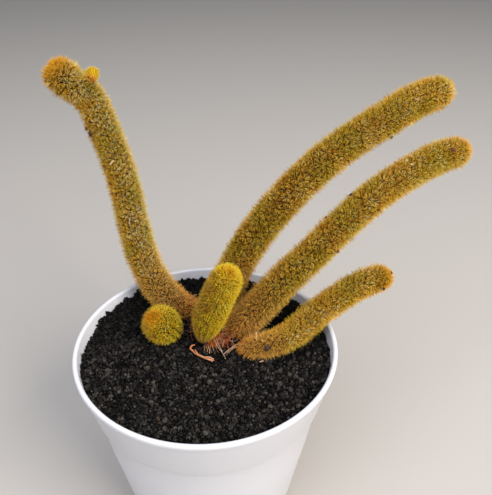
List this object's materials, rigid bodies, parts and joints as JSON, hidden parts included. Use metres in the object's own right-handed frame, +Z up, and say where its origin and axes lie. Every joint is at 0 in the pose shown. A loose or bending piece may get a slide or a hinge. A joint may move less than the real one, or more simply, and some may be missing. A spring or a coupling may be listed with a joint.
{
  "type": "potted rat tail cactus",
  "caption": "Columnar cactus with long spiny stems that arch out of dark grit in a round tapered plastic pot.",
  "frame": {"origin": "middle of the pot's flat underside, on the surface that it stands on", "axes": "+Z up along the pot's axis; +X to the right and -Y towards the viewer of the picture"},
  "size_m": [0.29, 0.2062, 0.3009],
  "materials": {
    "pot": "satin",
    "grit": "matte",
    "dry_stalk": "matte",
    "stem": "matte",
    "young_stem": "matte"
  },
  "bodies": {
    "root": {"pot": "pot", "grit": "grit", "dry_stalk": "dry_stalk", "stem_left": "stem", "stem_back": "stem", "stem_right": "stem", "stem_low": "stem", "stem_centre": "young_stem", "stem_ball": "young_stem"}
  },
  "joints": []
}
